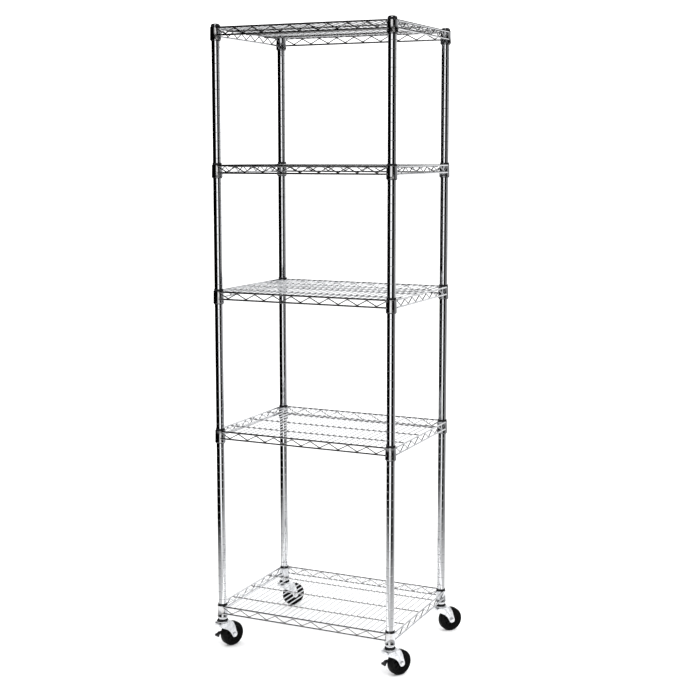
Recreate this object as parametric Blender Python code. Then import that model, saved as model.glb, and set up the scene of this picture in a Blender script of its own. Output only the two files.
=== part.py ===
# Five-tier chrome wire shelving rack on four swivel casters.
# Metres, +Z up. The origin is on the floor, midway between the four posts. The front faces -Y.
import math

import bmesh
import bpy

# Driving dimensions
POST_SPAN_X = 0.5715
POST_SPAN_Y = 0.4191
POST_RADIUS = 0.0127
POST_WALL = 0.0012
POST_BOTTOM = 0.0950
POST_LENGTH = 1.8288
GROOVE_PITCH = 0.0254
LOWEST_SLEEVE_TOP = 0.1440
BAY_GROOVES = (22, 17, 15, 16)
GAP = 0.0003
ROUND_SIDES = 12

# Split plastic sleeve, a cone that the collar slides down on
SLEEVE_HEIGHT = 0.0460
SLEEVE_RADIUS_TOP = 0.0142
SLEEVE_RADIUS_BOTTOM = 0.0149
SLEEVE_SLIT = 0.0012

# Shelf, all heights counted down from the top of its sleeves
COLLAR_TOP = -0.0060
COLLAR_BOTTOM = -0.0435
COLLAR_WALL = 0.0013
RAIL_SIZE = 0.0054
RAIL_OFFSET = 0.0130
RAIL_TOP_LEVEL = -0.0079
RAIL_LOW_LEVEL = -0.0299
RAIL_END_BEFORE_POST = 0.0106
TRUSS_FIRST_FOOT = 0.0406
FRONT_TRUSS_FEET = 9
SIDE_TRUSS_FEET = 7
DECK_WIRE = 0.0034
DECK_LEVEL = -0.0072
DECK_PITCH = 0.0198
DECK_WIRES_EACH_SIDE = 14
DECK_END_WIRE_STOP = 0.0129
SUPPORT_SIZE = 0.0046
SUPPORT_SPACING = 0.1190

# Casters, with X along the trail from the swivel axis to the axle
TRAIL = 0.0340
TRAIL_ANGLES = {"front_left": 65.0, "front_right": 60.0, "back_right": 47.0, "back_left": 57.0}
BRAKED = ("front_left", "front_right")
WHEEL_RADIUS = 0.0381
WHEEL_SIDES = 20
TYRE_WIDTH = 0.0240
HUB_RADIUS = 0.0273
HUB_BOSS_LENGTH = 0.0282
AXLE_RADIUS = 0.0039
AXLE_HOLE = 0.0043
FORK_INSIDE = 0.0146
FORK_PLATE = 0.0020
FORK_TOP = 0.0816
RACE_TOP = 0.0833
KINGPIN_RADIUS = 0.0045
KINGPIN_HOLE = 0.0049
LEVER_PLATE = 0.0020
LEVER_TONGUE_SIDE = 0.0040
STEM_RADIUS = 0.0055
SOCKET_BORE = 0.0059

POST_X = POST_SPAN_X / 2
POST_Y = POST_SPAN_Y / 2
CORNERS = {
    "front_left": (-POST_X, -POST_Y),
    "front_right": (POST_X, -POST_Y),
    "back_right": (POST_X, POST_Y),
    "back_left": (-POST_X, POST_Y),
}
TIERS = ("bottom", "second", "middle", "fourth", "top")


def tier_levels():
    """Height of the sleeve tops of each shelf, snapped to the grooves of the posts."""
    levels = [LOWEST_SLEEVE_TOP]
    for grooves in BAY_GROOVES:
        levels.append(levels[-1] + grooves * GROOVE_PITCH)
    return dict(zip(TIERS, levels))


def clear_scene():
    for item in list(bpy.data.objects):
        bpy.data.objects.remove(item, do_unlink=True)


def make_material(name, colour, roughness, metallic):
    material = bpy.data.materials.new(name)
    material.use_nodes = True
    shader = material.node_tree.nodes["Principled BSDF"]
    shader.inputs["Base Color"].default_value = (*colour, 1.0)
    shader.inputs["Roughness"].default_value = roughness
    shader.inputs["Metallic"].default_value = metallic
    return material


def finish_mesh(name, bm, smooth_angle=35.0):
    bmesh.ops.remove_doubles(bm, verts=bm.verts, dist=1e-6)
    bmesh.ops.recalc_face_normals(bm, faces=bm.faces)
    mesh = bpy.data.meshes.new(name)
    bm.to_mesh(mesh)
    bm.free()
    mesh.shade_smooth()
    mesh.set_sharp_from_angle(angle=math.radians(smooth_angle))
    return mesh


def place(name, mesh, material, location=(0.0, 0.0, 0.0), parent=None):
    piece = bpy.data.objects.new(name, mesh)
    bpy.context.scene.collection.objects.link(piece)
    piece.location = location
    piece.parent = parent
    if not mesh.materials:
        mesh.materials.append(material)
    return piece


def place_empty(name, location, turn_degrees=0.0):
    empty = bpy.data.objects.new(name, None)
    bpy.context.scene.collection.objects.link(empty)
    empty.location = location
    empty.rotation_euler = (0.0, 0.0, math.radians(turn_degrees))
    return empty


def turned(bm, profile, sides, ring, along="Z", phase=0.0, centre=(0.0, 0.0, 0.0)):
    """Turn (radius, height) points about an axis. A ring's profile closes on itself."""
    stations = []
    for radius, height in profile:
        corners = []
        count = 1 if radius == 0.0 else sides
        for index in range(count):
            angle = phase + 2 * math.pi * index / sides
            across = radius * math.cos(angle)
            around = radius * math.sin(angle)
            local = (across, around, height) if along == "Z" else (across, height, around)
            corners.append(bm.verts.new([a + b for a, b in zip(local, centre)]))
        stations.append(corners)
    pairs = list(zip(stations, stations[1:]))
    if ring:
        pairs.append((stations[-1], stations[0]))
    for first, second in pairs:
        for index in range(sides):
            after = (index + 1) % sides
            if len(first) == 1:
                bm.faces.new((first[0], second[index], second[after]))
            elif len(second) == 1:
                bm.faces.new((first[index], first[after], second[0]))
            else:
                bm.faces.new((first[index], first[after], second[after], second[index]))


def box(bm, low, high):
    corners = [bm.verts.new((x, y, z)) for x in (low[0], high[0])
               for y in (low[1], high[1]) for z in (low[2], high[2])]
    for face in ((0, 1, 3, 2), (4, 6, 7, 5), (0, 4, 5, 1), (2, 3, 7, 6), (0, 2, 6, 4), (1, 5, 7, 3)):
        bm.faces.new([corners[index] for index in face])


def plate(bm, outline, windows, low, high, along):
    """Extrude a flat outline with windows in it from low to high along X or Y."""
    def point(flat, depth):
        return (depth, flat[0], flat[1]) if along == "X" else (flat[0], depth, flat[1])

    edges = []
    for loop in [outline, *windows]:
        corners = [bm.verts.new(point(flat, low)) for flat in loop]
        for first, second in zip(corners, corners[1:] + corners[:1]):
            edges.append(bm.edges.new((first, second)))
    filled = bmesh.ops.triangle_fill(bm, edges=edges, use_beauty=True, use_dissolve=False)
    faces = [item for item in filled["geom"] if isinstance(item, bmesh.types.BMFace)]
    raised = bmesh.ops.extrude_face_region(bm, geom=faces, use_keep_orig=True)
    moved = [item for item in raised["geom"] if isinstance(item, bmesh.types.BMVert)]
    shift = (high - low, 0.0, 0.0) if along == "X" else (0.0, high - low, 0.0)
    bmesh.ops.translate(bm, verts=moved, vec=shift)


def combine(name, base, steps):
    """Apply a chain of exact Booleans to a mesh and return the result as a new mesh."""
    guide = bpy.data.objects.new("combined", base)
    bpy.context.scene.collection.objects.link(guide)
    others = []
    for operation, mesh in steps:
        other = bpy.data.objects.new("operand", mesh)
        bpy.context.scene.collection.objects.link(other)
        modifier = guide.modifiers.new(operation.lower(), "BOOLEAN")
        modifier.operation = operation
        modifier.solver = "EXACT"
        modifier.object = other
        others.append(other)
    bpy.context.view_layer.update()
    result = bpy.data.meshes.new_from_object(guide.evaluated_get(bpy.context.evaluated_depsgraph_get()))
    for item in [guide, *others]:
        bpy.data.objects.remove(item, do_unlink=True)
    bm = bmesh.new()
    bm.from_mesh(result)
    bmesh.ops.dissolve_limit(bm, angle_limit=math.radians(0.5), verts=bm.verts, edges=bm.edges)
    bmesh.ops.triangulate(bm, faces=bm.faces)
    return finish_mesh(name, bm)


def facet_radius(corner_radius, angle):
    """Distance to the side of a regular polygon with a corner at angle 0."""
    step = 2 * math.pi / ROUND_SIDES
    return corner_radius * math.cos(step / 2) / math.cos(angle % step - step / 2)


# Posts and what is fixed to them

def post_mesh():
    bm = bmesh.new()
    inside = POST_RADIUS - POST_WALL
    profile = ((inside, 0.0), (POST_RADIUS, 0.0), (POST_RADIUS, POST_LENGTH), (inside, POST_LENGTH))
    turned(bm, profile, ROUND_SIDES, ring=True)
    return finish_mesh("post", bm)


def cap_mesh():
    """Domed plug, with its seat at height 0 on the end of the tube."""
    plug = POST_RADIUS - POST_WALL - GAP
    profile = ((0.0, 0.0032), (0.0080, 0.0026), (0.0122, 0.0012), (0.0122, GAP),
               (plug, GAP), (plug, -0.0140), (0.0, -0.0140))
    bm = bmesh.new()
    turned(bm, profile, ROUND_SIDES, ring=False)
    return finish_mesh("post_cap", bm)


def socket_mesh():
    """Flanged insert in the lower end of the tube, which holds the caster's stem."""
    plug = POST_RADIUS - POST_WALL - GAP
    profile = ((SOCKET_BORE, 0.0250), (plug, 0.0250), (plug, -GAP),
               (POST_RADIUS, -GAP), (POST_RADIUS, -0.0018), (SOCKET_BORE, -0.0018))
    bm = bmesh.new()
    turned(bm, profile, ROUND_SIDES, ring=True)
    return finish_mesh("post_socket", bm)


def sleeve_mesh():
    """Tapered ring with one open slit, its top at height 0."""
    inside = POST_RADIUS + GAP
    section = ((inside, 0.0), (SLEEVE_RADIUS_TOP, 0.0),
               (SLEEVE_RADIUS_BOTTOM, -SLEEVE_HEIGHT), (inside, -SLEEVE_HEIGHT))
    opening = SLEEVE_SLIT / 2 / inside
    angles = [opening]
    angles += [2 * math.pi * index / ROUND_SIDES for index in range(1, ROUND_SIDES)]
    angles.append(2 * math.pi - opening)
    bm = bmesh.new()
    stations = []
    for angle in angles:
        corners = []
        for radius, height in section:
            reach = facet_radius(radius, angle)
            corners.append(bm.verts.new((reach * math.cos(angle), reach * math.sin(angle), height)))
        stations.append(corners)
    for first, second in zip(stations, stations[1:]):
        for index in range(4):
            after = (index + 1) % 4
            bm.faces.new((first[index], first[after], second[after], second[index]))
    bm.faces.new(stations[0])
    bm.faces.new(stations[-1])
    return finish_mesh("sleeve", bm)


# Shelf, one welded piece

def truss_windows(span, feet):
    """Triangular openings of a zigzag wire between the two rails, centred on the span."""
    pitch = (span - 2 * TRUSS_FIRST_FOOT) / (feet - 1)
    top = RAIL_TOP_LEVEL - RAIL_SIZE / 2
    low = RAIL_LOW_LEVEL + RAIL_SIZE / 2
    lean = pitch / 2 / (RAIL_TOP_LEVEL - RAIL_LOW_LEVEL)
    half_base = lean * (top - low)
    first = -span / 2 + TRUSS_FIRST_FOOT
    windows = []
    for index in range(feet):
        foot = first + index * pitch
        windows.append(((foot, low), (foot + half_base, top), (foot - half_base, top)))
        if index < feet - 1:
            crest = foot + pitch / 2
            windows.append(((crest, top), (crest - half_base, low), (crest + half_base, low)))
    near = span / 2 - TRUSS_FIRST_FOOT + pitch / 2 - half_base
    far = span / 2 - RAIL_OFFSET
    rise = (far - near) / lean
    for side in (-1, 1):
        windows.append(((side * near, low), (side * far, low), (side * far, low + rise)))
    return windows


def trusses_mesh():
    bm = bmesh.new()
    top = RAIL_TOP_LEVEL + RAIL_SIZE / 2
    low = RAIL_LOW_LEVEL - RAIL_SIZE / 2
    for span, offset, feet, along in ((POST_SPAN_X, POST_Y, FRONT_TRUSS_FEET, "Y"),
                                      (POST_SPAN_Y, POST_X, SIDE_TRUSS_FEET, "X")):
        reach = span / 2 - RAIL_END_BEFORE_POST
        outline = ((-reach, low), (reach, low), (reach, top), (-reach, top))
        windows = truss_windows(span, feet)
        for side in (-1, 1):
            middle = side * (offset + RAIL_OFFSET)
            plate(bm, outline, windows, middle - RAIL_SIZE / 2, middle + RAIL_SIZE / 2, along)
    return finish_mesh("trusses", bm)


def collars_mesh():
    """Four tapered collars that fit over the sleeves with a small even gap."""
    slope = (SLEEVE_RADIUS_BOTTOM - SLEEVE_RADIUS_TOP) / SLEEVE_HEIGHT
    inside_top = SLEEVE_RADIUS_TOP - slope * COLLAR_TOP + GAP
    inside_bottom = SLEEVE_RADIUS_TOP - slope * COLLAR_BOTTOM + GAP
    profile = ((inside_top, COLLAR_TOP), (inside_top + COLLAR_WALL, COLLAR_TOP),
               (inside_bottom + COLLAR_WALL, COLLAR_BOTTOM), (inside_bottom, COLLAR_BOTTOM))
    bm = bmesh.new()
    for x, y in CORNERS.values():
        turned(bm, profile, ROUND_SIDES, ring=True, centre=(x, y, 0.0))
    return finish_mesh("collars", bm)


def deck_mesh():
    """Front-to-back deck wires and the three lengthwise wires under them."""
    bm = bmesh.new()
    half = DECK_WIRE / 2
    for index in range(-DECK_WIRES_EACH_SIDE, DECK_WIRES_EACH_SIDE + 1):
        x = index * DECK_PITCH
        reach = POST_Y + RAIL_OFFSET
        if abs(index) == DECK_WIRES_EACH_SIDE:
            reach = POST_Y - DECK_END_WIRE_STOP
        box(bm, (x - half, -reach, DECK_LEVEL - half), (x + half, reach, DECK_LEVEL + half))
    top = DECK_LEVEL - half - GAP
    reach = POST_X + RAIL_OFFSET
    for index in (-1, 0, 1):
        y = index * SUPPORT_SPACING
        box(bm, (-reach, y - SUPPORT_SIZE / 2, top - SUPPORT_SIZE), (reach, y + SUPPORT_SIZE / 2, top))
    return finish_mesh("deck", bm)


def shelf_mesh():
    return combine("shelf", trusses_mesh(), [("UNION", collars_mesh()), ("UNION", deck_mesh())])


# Caster pieces

def stem_mesh():
    """Stem, swivel race and riveted kingpin, turned about the swivel axis. Heights are from the floor."""
    flange = POST_BOTTOM - 0.0018 - GAP
    race_low = RACE_TOP + GAP
    profile = ((0.0, POST_BOTTOM + 0.0220), (STEM_RADIUS, POST_BOTTOM + 0.0220), (STEM_RADIUS, flange),
               (0.0105, flange), (0.0150, flange - 0.0025), (0.0195, flange - 0.0060), (0.0195, race_low),
               (KINGPIN_RADIUS, race_low), (KINGPIN_RADIUS, FORK_TOP - 0.0027),
               (0.0075, FORK_TOP - 0.0027), (0.0060, FORK_TOP - 0.0045), (0.0, FORK_TOP - 0.0045))
    bm = bmesh.new()
    turned(bm, profile, ROUND_SIDES, ring=False)
    return finish_mesh("caster_stem", bm)


def cylinder_mesh(name, radius, low, high, along, centre, sides=ROUND_SIDES):
    bm = bmesh.new()
    turned(bm, ((0.0, high), (radius, high), (radius, low), (0.0, low)), sides, ring=False,
           along=along, centre=centre)
    return finish_mesh(name, bm)


def box_mesh(name, low, high):
    bm = bmesh.new()
    box(bm, low, high)
    return finish_mesh(name, bm)


def arc_points(centre, radius, start, stop, count):
    points = []
    for index in range(count):
        angle = math.radians(start + (stop - start) * index / (count - 1))
        points.append((centre[0] + radius * math.cos(angle), centre[1] + radius * math.sin(angle)))
    return points


def fork_mesh():
    """Pressed fork: two tapering legs, a closed front and a round top that carries the lower race."""
    axle = (TRAIL, WHEEL_RADIUS)
    outline = [(-0.0200, FORK_TOP), (-0.0200, 0.0700), (-0.0020, 0.0630), (0.0130, 0.0530)]
    outline += arc_points(axle, 0.0095, 200.0, 380.0, 7)
    outline += [(0.0360, 0.0620), (0.0270, FORK_TOP)]
    outside = FORK_INSIDE + FORK_PLATE
    bm = bmesh.new()
    plate(bm, outline, [], -outside, outside, "Y")
    body = finish_mesh("fork_outside", bm)
    under_plate = FORK_TOP - 0.0024
    hollow = box_mesh("fork_hollow", (-0.0180, -FORK_INSIDE, 0.0), (0.0800, FORK_INSIDE, under_plate))
    crown = cylinder_mesh("fork_crown", 0.0190, under_plate, RACE_TOP, "Z", (0.0, 0.0, 0.0))
    pin_hole = cylinder_mesh("pin_hole", KINGPIN_HOLE, 0.0600, 0.1000, "Z", (0.0, 0.0, 0.0))
    axle_hole = cylinder_mesh("axle_hole", AXLE_HOLE, -0.0300, 0.0300, "Y", (TRAIL, 0.0, WHEEL_RADIUS), 8)
    steps = [("DIFFERENCE", hollow), ("UNION", crown), ("DIFFERENCE", pin_hole), ("DIFFERENCE", axle_hole)]
    return combine("caster_fork", body, steps)


def tyre_mesh():
    """Solid tyre about the Y axis, with a flat of its polygon at the bottom."""
    tread = WHEEL_RADIUS / math.cos(math.pi / WHEEL_SIDES)
    half = TYRE_WIDTH / 2
    profile = ((HUB_RADIUS + 0.0008, half - 0.0015), (tread - 0.0045, half), (tread, half - 0.0045),
               (tread, 0.0045 - half), (tread - 0.0045, -half), (HUB_RADIUS + 0.0008, 0.0015 - half))
    bm = bmesh.new()
    turned(bm, profile, WHEEL_SIDES, ring=True, along="Y", phase=math.pi / 2 + math.pi / WHEEL_SIDES)
    return finish_mesh("caster_tyre", bm)


def hub_mesh():
    """Hub with a long boss that keeps the wheel clear of the fork."""
    boss = HUB_BOSS_LENGTH / 2
    web = 0.0080
    profile = ((AXLE_HOLE, boss), (0.0090, boss), (0.0105, web), (HUB_RADIUS, web),
               (HUB_RADIUS, -web), (0.0105, -web), (0.0090, -boss), (AXLE_HOLE, -boss))
    bm = bmesh.new()
    turned(bm, profile, ROUND_SIDES, ring=True, along="Y")
    return finish_mesh("caster_hub", bm)


def axle_mesh(name, near_seat, far_seat):
    """Axle bolt with a head at each end, its seats just outside the plates that it holds."""
    head = 0.0068
    near_end = near_seat + 0.0035
    far_end = far_seat + 0.0035
    profile = ((0.0, far_end), (head, far_end), (head, far_seat), (AXLE_RADIUS, far_seat),
               (AXLE_RADIUS, -near_seat), (head, -near_seat), (head, -near_end), (0.0, -near_end))
    bm = bmesh.new()
    turned(bm, profile, 8, ring=False, along="Y")
    return finish_mesh(name, bm)


def lever_mesh():
    """Brake lever: an arm that pivots on the axle outside the +Y leg, with a tongue bent in front of the tyre.

    The lever is drawn with the axle at its origin and the tongue towards -X.
    """
    inside = FORK_INSIDE + FORK_PLATE + GAP
    outside = inside + LEVER_PLATE
    arm = arc_points((0.0, 0.0), 0.0092, 90.0, -90.0, 7)
    arm += [(-0.0400, -0.0010), (-0.0440, 0.0020), (-0.0400, 0.0078)]
    tongue = [(-0.0395, 0.0055), (-0.0395, 0.0078), (-0.0455, 0.0045)]
    tongue += arc_points((-0.0485, 0.0), 0.0042, 70.0, 330.0, 7)
    tongue += [(-0.0432, 0.0024)]
    bm = bmesh.new()
    plate(bm, arm, [], inside, outside, "Y")
    body = finish_mesh("lever_arm", bm)
    bm = bmesh.new()
    plate(bm, tongue, [], LEVER_TONGUE_SIDE, outside - GAP, "Y")
    hole = cylinder_mesh("lever_hole", AXLE_HOLE, -0.0300, 0.0300, "Y", (0.0, 0.0, 0.0), 8)
    steps = [("UNION", finish_mesh("lever_tongue", bm)), ("DIFFERENCE", hole)]
    return combine("caster_brake", body, steps)


def build_posts(materials):
    post = post_mesh()
    cap = cap_mesh()
    socket = socket_mesh()
    sleeve = sleeve_mesh()
    for corner, (x, y) in CORNERS.items():
        place(f"post_{corner}", post, materials["chrome"], (x, y, POST_BOTTOM))
        place(f"post_cap_{corner}", cap, materials["cap"], (x, y, POST_BOTTOM + POST_LENGTH))
        place(f"post_socket_{corner}", socket, materials["zinc"], (x, y, POST_BOTTOM))
        for tier, level in tier_levels().items():
            place(f"sleeve_{tier}_{corner}", sleeve, materials["sleeve"], (x, y, level))


def build_shelves(materials):
    shelf = shelf_mesh()
    for tier, level in tier_levels().items():
        place(f"shelf_{tier}", shelf, materials["chrome"], (0.0, 0.0, level))


def build_casters(materials):
    stem = stem_mesh()
    fork = fork_mesh()
    tyre = tyre_mesh()
    hub = hub_mesh()
    lever = lever_mesh()
    seat = FORK_INSIDE + FORK_PLATE + GAP
    plain_axle = axle_mesh("axle_plain", seat, seat)
    braked_axle = axle_mesh("axle_braked", seat, seat + LEVER_PLATE + GAP)
    hub_centre = (TRAIL, 0.0, WHEEL_RADIUS)
    for corner, (x, y) in CORNERS.items():
        swivel = place_empty(f"swivel_{corner}", (x, y, 0.0), TRAIL_ANGLES[corner])
        place(f"caster_stem_{corner}", stem, materials["zinc"], (x, y, 0.0))
        place(f"caster_fork_{corner}", fork, materials["zinc"], parent=swivel)
        place(f"caster_tyre_{corner}", tyre, materials["tyre"], hub_centre, swivel)
        place(f"caster_hub_{corner}", hub, materials["hub"], hub_centre, swivel)
        axle = braked_axle if corner in BRAKED else plain_axle
        place(f"caster_axle_{corner}", axle, materials["zinc"], hub_centre, swivel)
        if corner in BRAKED:
            place(f"caster_brake_{corner}", lever, materials["lever"], hub_centre, swivel)


def main():
    clear_scene()
    materials = {
        "chrome": make_material("chrome", (0.78, 0.79, 0.80), 0.12, 1.0),
        "zinc": make_material("zinc_plate", (0.62, 0.63, 0.64), 0.28, 1.0),
        "sleeve": make_material("black_sleeve", (0.020, 0.020, 0.022), 0.45, 0.0),
        "cap": make_material("black_cap", (0.024, 0.024, 0.026), 0.40, 0.0),
        "tyre": make_material("black_tyre", (0.016, 0.016, 0.017), 0.60, 0.0),
        "hub": make_material("black_hub", (0.022, 0.022, 0.023), 0.42, 0.0),
        "lever": make_material("black_lever", (0.030, 0.030, 0.032), 0.38, 0.0),
    }
    build_posts(materials)
    build_shelves(materials)
    build_casters(materials)


main()
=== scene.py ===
import math

import bmesh
import bpy
from mathutils import Matrix, Vector


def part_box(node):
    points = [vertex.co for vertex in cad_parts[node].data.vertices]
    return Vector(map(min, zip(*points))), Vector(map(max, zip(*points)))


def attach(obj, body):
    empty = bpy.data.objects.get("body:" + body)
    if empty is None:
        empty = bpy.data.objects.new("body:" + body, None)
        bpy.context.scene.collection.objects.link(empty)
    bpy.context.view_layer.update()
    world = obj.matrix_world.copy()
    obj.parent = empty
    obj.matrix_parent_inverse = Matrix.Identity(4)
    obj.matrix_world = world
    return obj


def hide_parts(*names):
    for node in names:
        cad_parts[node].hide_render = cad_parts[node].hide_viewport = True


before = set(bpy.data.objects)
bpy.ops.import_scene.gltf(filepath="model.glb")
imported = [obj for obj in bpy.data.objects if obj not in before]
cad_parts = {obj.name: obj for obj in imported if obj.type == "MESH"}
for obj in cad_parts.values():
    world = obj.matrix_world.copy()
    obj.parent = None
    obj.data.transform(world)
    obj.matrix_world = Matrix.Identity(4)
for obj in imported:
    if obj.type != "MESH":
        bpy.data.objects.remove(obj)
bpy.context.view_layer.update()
print("frame loaded,", len(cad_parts), "nodes")

corners = ("front_left", "front_right", "back_right", "back_left")
tiers = ("bottom", "second", "middle", "fourth", "top")
braked = ("front_left", "front_right")
smoothAngle = math.radians(38)


# Node graphs, for the materials and for Geometry Nodes

class Term:  # one output socket, so that sums on it can be written plainly
    def __init__(self, graph, socket):
        self.graph = graph
        self.socket = socket

    def other(self, name):  # another output of the same node
        return Term(self.graph, self.socket.node.outputs[name])

    def __add__(self, value):
        return self.graph.maths("ADD", self, value)

    def __radd__(self, value):
        return self.graph.maths("ADD", value, self)

    def __sub__(self, value):
        return self.graph.maths("SUBTRACT", self, value)

    def __rsub__(self, value):
        return self.graph.maths("SUBTRACT", value, self)

    def __mul__(self, value):
        return self.graph.maths("MULTIPLY", self, value)

    def __rmul__(self, value):
        return self.graph.maths("MULTIPLY", value, self)

    def __truediv__(self, value):
        return self.graph.maths("DIVIDE", self, value)

    def __mod__(self, value):
        return self.graph.maths("FLOORED_MODULO", self, value)

    def __abs__(self):
        return self.graph.maths("ABSOLUTE", self)

    def ramp(self, low, high):  # 0 below low, 1 above high, eased between
        settings = {"interpolation_type": "SMOOTHSTEP"}
        return self.graph.add("ShaderNodeMapRange", settings, {0: self, 1: low, 2: high})


class Graph:
    def __init__(self, tree):
        self.tree = tree

    def add(self, kind, settings=None, inputs=None, out=0):
        node = self.tree.nodes.new(kind)
        for name, value in (settings or {}).items():
            if name == "stops":
                self.setStops(node.color_ramp.elements, value)
            elif name == "items":
                while len(node.index_switch_items) < value:
                    node.index_switch_items.new()
            else:
                setattr(node, name, value)
        for name, value in (inputs or {}).items():
            self.join(value, node.inputs[name])
        return Term(self, node.outputs[out])

    def setStops(self, elements, stops):
        while len(elements) < len(stops):
            elements.new(1.0)
        for element, (place, level) in zip(elements, stops):
            element.position = place
            element.color = (level, level, level, 1.0)

    def join(self, value, socket):
        if isinstance(value, Term):
            self.tree.links.new(value.socket, socket)
        else:
            socket.default_value = value

    def maths(self, operation, *values):
        return self.add("ShaderNodeMath", {"operation": operation}, dict(enumerate(values)))

    def mixColour(self, factor, first, second):
        return self.add("ShaderNodeMix", {"data_type": "RGBA"}, {0: factor, 6: first, 7: second}, out=2)

    def noise(self, vector, scale, detail=3.0, roughness=0.55):
        sockets = {"Vector": vector, "Scale": scale, "Detail": detail, "Roughness": roughness}
        return self.add("ShaderNodeTexNoise", None, sockets)

    def stretched(self, vector, scale):
        return self.add("ShaderNodeVectorMath", {"operation": "MULTIPLY"}, {0: vector, 1: scale})


# Finishes

def startFinish(name, fixed):
    material = bpy.data.materials.new(name)
    material.use_nodes = True
    shader = material.node_tree.nodes["Principled BSDF"]
    for socket, value in fixed.items():
        shader.inputs[socket].default_value = value
    graph = Graph(material.node_tree)
    place = graph.add("ShaderNodeTexCoord", out="Object")
    return material, shader, graph, place


def roughen(graph, shader, height, distance, strength=1.0):
    sockets = {"Strength": strength, "Distance": distance, "Height": height}
    graph.join(graph.add("ShaderNodeBump", None, sockets), shader.inputs["Normal"])


postFinish = {
    "bright": (0.86, 0.87, 0.89, 1.0),
    "worn": (0.72, 0.73, 0.75, 1.0),
    "grooveDark": (0.20, 0.20, 0.21, 1.0),
    "groovePitch": 0.0254,
    "grooveDarkWidth": 0.0011,
    "roughness": 0.035,
    "smudge": 0.09,
}


def makePostChrome(values, start):
    material, shader, graph, place = startFinish("post chrome", {"Metallic": 1.0})
    height = graph.add("ShaderNodeSeparateXYZ", None, {0: place}, out="Z")
    smudge = graph.noise(place, 14.0, 5.0, 0.6).ramp(0.46, 0.74)
    rubbed = graph.noise(graph.stretched(place, (900.0, 900.0, 26.0)), 1.0, 2.0)
    pitch = values["groovePitch"]
    across = abs((height - start + pitch / 2) % pitch - pitch / 2)
    groove = 1.0 - across.ramp(values["grooveDarkWidth"] * 0.35, values["grooveDarkWidth"])
    # the post is darker and rougher along the grooves, in patches
    grooveDarkening = groove * graph.noise(place, 160.0, 2.0).ramp(0.25, 0.75)
    plated = graph.mixColour(smudge * 0.7, values["bright"], values["worn"])
    graph.join(graph.mixColour(grooveDarkening * 0.62, plated, values["grooveDark"]), shader.inputs["Base Color"])
    roughness = values["roughness"] + smudge * values["smudge"] + rubbed.ramp(0.5, 0.9) * 0.03 + grooveDarkening * 0.22
    graph.join(roughness, shader.inputs["Roughness"])
    roughen(graph, shader, rubbed, 0.00002, 0.35)
    return material


# painted shade: the bright and worn plating colours here are set darker than real plating, to stand in for
# the darker look the wires have in this light
darkenedWireFinish = {
    "bright": (0.66, 0.67, 0.69, 1.0),
    "worn": (0.48, 0.49, 0.51, 1.0),
    "weldTint": (0.42, 0.38, 0.33, 1.0),
    "roughness": 0.06,
    "smudge": 0.12,
    "weldReach": 0.0042,
}


def makeWireChrome(values, weldRows):
    material, shader, graph, place = startFinish("wire chrome", {"Metallic": 1.0})
    along = graph.add("ShaderNodeSeparateXYZ", None, {0: place}, out="Y")
    smudge = graph.noise(place, 22.0, 5.0, 0.62).ramp(0.44, 0.72)
    grain = graph.noise(place, 2600.0, 1.0)
    tint = None
    for row in weldRows:  # plating is duller and warmer round each row of welds
        near = 1.0 - abs(abs(along) - row).ramp(0.0016, values["weldReach"])
        tint = near if tint is None else graph.maths("MAXIMUM", tint, near)
    tint = tint * graph.noise(place, 240.0, 2.0).ramp(0.30, 0.70)
    # the plating colours carry painted shade, set in the finish values
    plated = graph.mixColour(smudge * 0.75, values["bright"], values["worn"])
    graph.join(graph.mixColour(tint * 0.55, plated, values["weldTint"]), shader.inputs["Base Color"])
    graph.join(values["roughness"] + smudge * values["smudge"] + tint * 0.18, shader.inputs["Roughness"])
    roughen(graph, shader, grain, 0.00002, 0.30)
    return material


zincFinish = {
    "bright": (0.74, 0.75, 0.77, 1.0),
    "dull": (0.50, 0.51, 0.53, 1.0),
    "roughness": 0.20,
    "spread": 0.17,
}


def makeZinc(values):
    material, shader, graph, place = startFinish("zinc plate", {"Metallic": 1.0})
    spangle = graph.add("ShaderNodeTexVoronoi", None, {"Vector": place, "Scale": 520.0}, out="Distance")
    stain = graph.noise(place, 60.0, 5.0, 0.65).ramp(0.42, 0.74)
    graph.join(graph.mixColour(stain, values["bright"], values["dull"]), shader.inputs["Base Color"])
    graph.join(values["roughness"] + stain * values["spread"] + spangle * 0.10, shader.inputs["Roughness"])
    roughen(graph, shader, graph.noise(place, 900.0, 3.0), 0.00004, 0.35)
    return material


darkSheen = 0.07  # specular level of the black finishes, kept low so that they stay black
darkFinishes = {
    "sleeve nylon": {"base": (0.010, 0.010, 0.011, 1.0), "scuff": (0.042, 0.042, 0.044, 1.0),
                     "roughness": 0.24, "spread": 0.20, "grain": 1500.0, "depth": 0.00005},
    "cap plastic": {"base": (0.012, 0.012, 0.013, 1.0), "scuff": (0.046, 0.046, 0.048, 1.0),
                    "roughness": 0.30, "spread": 0.22, "grain": 2200.0, "depth": 0.00006},
    "hub nylon": {"base": (0.003, 0.003, 0.003, 1.0), "scuff": (0.010, 0.010, 0.011, 1.0),
                  "roughness": 0.38, "spread": 0.22, "grain": 1300.0, "depth": 0.00006},
    "tyre rubber": {"base": (0.0022, 0.0022, 0.0023, 1.0), "scuff": (0.010, 0.0095, 0.009, 1.0),
                    "roughness": 0.50, "spread": 0.26, "grain": 900.0, "depth": 0.00012},
}


def makeDark(name, values):
    material, shader, graph, place = startFinish(name, {"Metallic": 0.0, "Specular IOR Level": darkSheen})
    scuff = graph.noise(place, 75.0, 6.0, 0.68).ramp(0.52, 0.80)
    fine = graph.noise(graph.stretched(place, (420.0, 420.0, 90.0)), 1.0, 3.0).ramp(0.58, 0.78)
    worn = scuff * 0.65 + fine * scuff * 0.35
    graph.join(graph.mixColour(worn, values["base"], values["scuff"]), shader.inputs["Base Color"])
    graph.join(values["roughness"] + worn * values["spread"], shader.inputs["Roughness"])
    roughen(graph, shader, graph.noise(place, values["grain"], 2.0), values["depth"], 0.45)
    return material


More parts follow.
